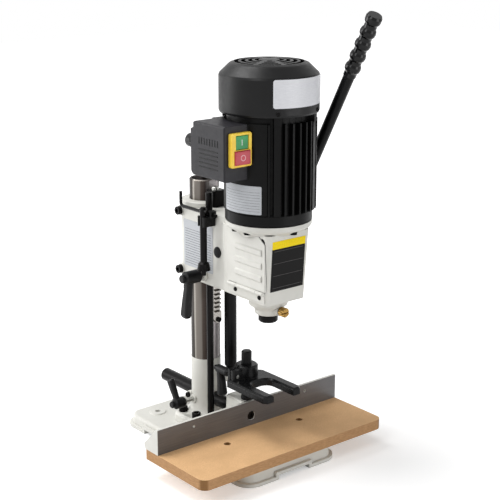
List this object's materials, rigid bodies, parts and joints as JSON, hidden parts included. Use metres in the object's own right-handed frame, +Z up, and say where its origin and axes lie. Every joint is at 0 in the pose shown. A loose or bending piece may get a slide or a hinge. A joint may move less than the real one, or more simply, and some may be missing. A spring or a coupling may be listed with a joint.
{
  "type": "benchtop mortiser",
  "caption": "Bench mortiser with a rack-fed motor head on a steel column, long feed lever, fence, hold-down fork and board table.",
  "frame": {"origin": "centre of the four bench bolt holes, on the bench surface", "axes": "+X to the operator's right along the fence, -Y towards the operator, +Z up along the column"},
  "size_m": [0.4, 0.4506, 0.7735],
  "materials": {
    "cream_paint": "smooth satin cream-white paint over cast iron",
    "cream_sheet": "satin cream-white paint on sheet steel",
    "fence_metal": "machined grey iron face, white painted back",
    "bright_steel": "ground bright steel",
    "black_steel": "black oxide on steel",
    "black_enamel": "satin black enamel on cast aluminium",
    "black_sheet": "satin black paint on sheet steel",
    "black_plastic": "fine-grained black plastic",
    "grip_rubber": "moulded black grip",
    "mdf": "sanded fibre board",
    "brass": "plain brass",
    "zinc": "zinc plated steel",
    "switch_yellow": "yellow plastic",
    "start_green": "green plastic",
    "stop_red": "red plastic",
    "bronze": "sintered bronze"
  },
  "bodies": {
    "base": {"base_casting": "cream_paint", "table_board": "mdf", "table_screws": "black_steel", "column_holder": "cream_paint", "holder_bolts": "black_steel", "column_tube": "bright_steel", "feed_rack": "bright_steel", "rack_screws": "black_steel", "rack_stop": "black_steel", "stop_screw": "zinc", "gas_cylinder": "black_sheet", "gas_nut_lower": "zinc"},
    "depth_rod": {"depth_rod": "black_steel"},
    "fence": {"fence_casting": "fence_metal", "fence_bar": "black_steel", "fence_bar_screw": "black_steel", "hold_down_post": "black_steel"},
    "hold_down": {"hold_down_fork": "black_enamel"},
    "fork_lock": {"fork_lock_handle": "black_enamel", "fork_lock_stud": "zinc"},
    "fence_lock": {"fence_lock_handle": "black_enamel", "fence_lock_stud": "zinc"},
    "head": {"head_casting": "cream_paint", "gib_screws": "black_steel", "motor_bolts": "black_steel", "motor_end_bell": "black_enamel", "motor_body": "black_enamel", "motor_bearings": "bright_steel", "fan_cowl": "black_sheet", "cowl_screws": "black_steel", "switch_box_cover": "black_plastic", "switch_plate": "switch_yellow", "cable_gland": "black_plastic", "key_clip": "grip_rubber", "cover_plug": "black_plastic", "door_hinge": "cream_sheet", "hinge_screws": "black_steel", "chisel_socket": "black_steel", "gas_rod": "bright_steel", "gas_nut_upper": "zinc", "shaft_bushes": "bronze"},
    "depth_lock": {"depth_lock_handle": "black_enamel", "depth_lock_stud": "zinc"},
    "feed_lever": {"feed_gear": "black_steel", "feed_shaft": "bright_steel", "lever_hub": "black_enamel", "lever_rod": "black_steel", "lever_grip": "grip_rubber"},
    "spindle": {"motor_shaft": "bright_steel", "cooling_fan": "black_plastic", "drill_chuck": "bright_steel"},
    "door": {"door_left": "cream_sheet"},
    "start_button": {"start_button": "start_green"},
    "stop_button": {"stop_button": "stop_red"},
    "chuck_key": {"chuck_key": "black_steel"},
    "hex_key": {"hex_key": "black_steel"},
    "chisel_screw": {"chisel_screw": "brass"}
  },
  "joints": [
    {"name": "head_feed", "type": "slide", "parent": "base", "child": "head", "axis": [0, 0, -1], "range_m": [0, 0.09], "stiffness_N_per_m": 700, "springref_m": -0.57},
    {"name": "feed_lever_turn", "type": "hinge", "parent": "head", "child": "feed_lever", "pos_m": [0, -0.0265, 0.364], "axis": [1, 0, 0], "range_deg": [0, 93.81]},
    {"name": "spindle_spin", "type": "hinge", "parent": "head", "child": "spindle", "pos_m": [0, -0.111, 0.4], "axis": [0, 0, 1], "continuous": true},
    {"name": "depth_rod_slide", "type": "slide", "parent": "base", "child": "depth_rod", "axis": [0, 0, 1], "range_m": [0, 0.1]},
    {"name": "fence_slide", "type": "slide", "parent": "base", "child": "fence", "axis": [0, 1, 0], "range_m": [-0.026, 0.004]},
    {"name": "hold_down_slide", "type": "slide", "parent": "fence", "child": "hold_down", "axis": [0, 0, 1], "range_m": [-0.023, 0.004]},
    {"name": "fork_lock_turn", "type": "hinge", "parent": "hold_down", "child": "fork_lock", "pos_m": [-0.027, -0.053, 0.146], "axis": [0, 1, 0], "range_deg": [0, 60]},
    {"name": "fence_lock_turn", "type": "hinge", "parent": "base", "child": "fence_lock", "pos_m": [-0.048, 0.066, 0.065], "axis": [1, 0, 0], "range_deg": [-40, 20]},
    {"name": "depth_lock_turn", "type": "hinge", "parent": "head", "child": "depth_lock", "pos_m": [-0.05, 0.013, 0.316], "axis": [1, 0, 0], "range_deg": [-35, 35]},
    {"name": "door_swing", "type": "hinge", "parent": "head", "child": "door", "pos_m": [-0.0464, -0.106, 0.321], "axis": [0, -1, 0], "range_deg": [0, 100]},
    {"name": "start_press", "type": "slide", "parent": "head", "child": "start_button", "axis": [0, 1, 0], "range_m": [0, 0.003], "stiffness_N_per_m": 500, "springref_m": -0.003},
    {"name": "stop_press", "type": "slide", "parent": "head", "child": "stop_button", "axis": [0, 1, 0], "range_m": [0, 0.003], "stiffness_N_per_m": 500, "springref_m": -0.003},
    {"name": "chuck_key_pull", "type": "slide", "parent": "head", "child": "chuck_key", "axis": [-1, 0, 0], "range_m": [0, 0.04]},
    {"name": "hex_key_pull", "type": "slide", "parent": "head", "child": "hex_key", "axis": [0, 1, 0], "range_m": [0, 0.05]},
    {"name": "chisel_screw_turn", "type": "hinge", "parent": "head", "child": "chisel_screw", "pos_m": [0, -0.14, 0.281], "axis": [0, 1, 0], "range_deg": [0, 360]}
  ],
  "couplings": [
    {"joint": "feed_lever_turn", "follows": "head_feed", "rad_per_m": 18.182}
  ]
}
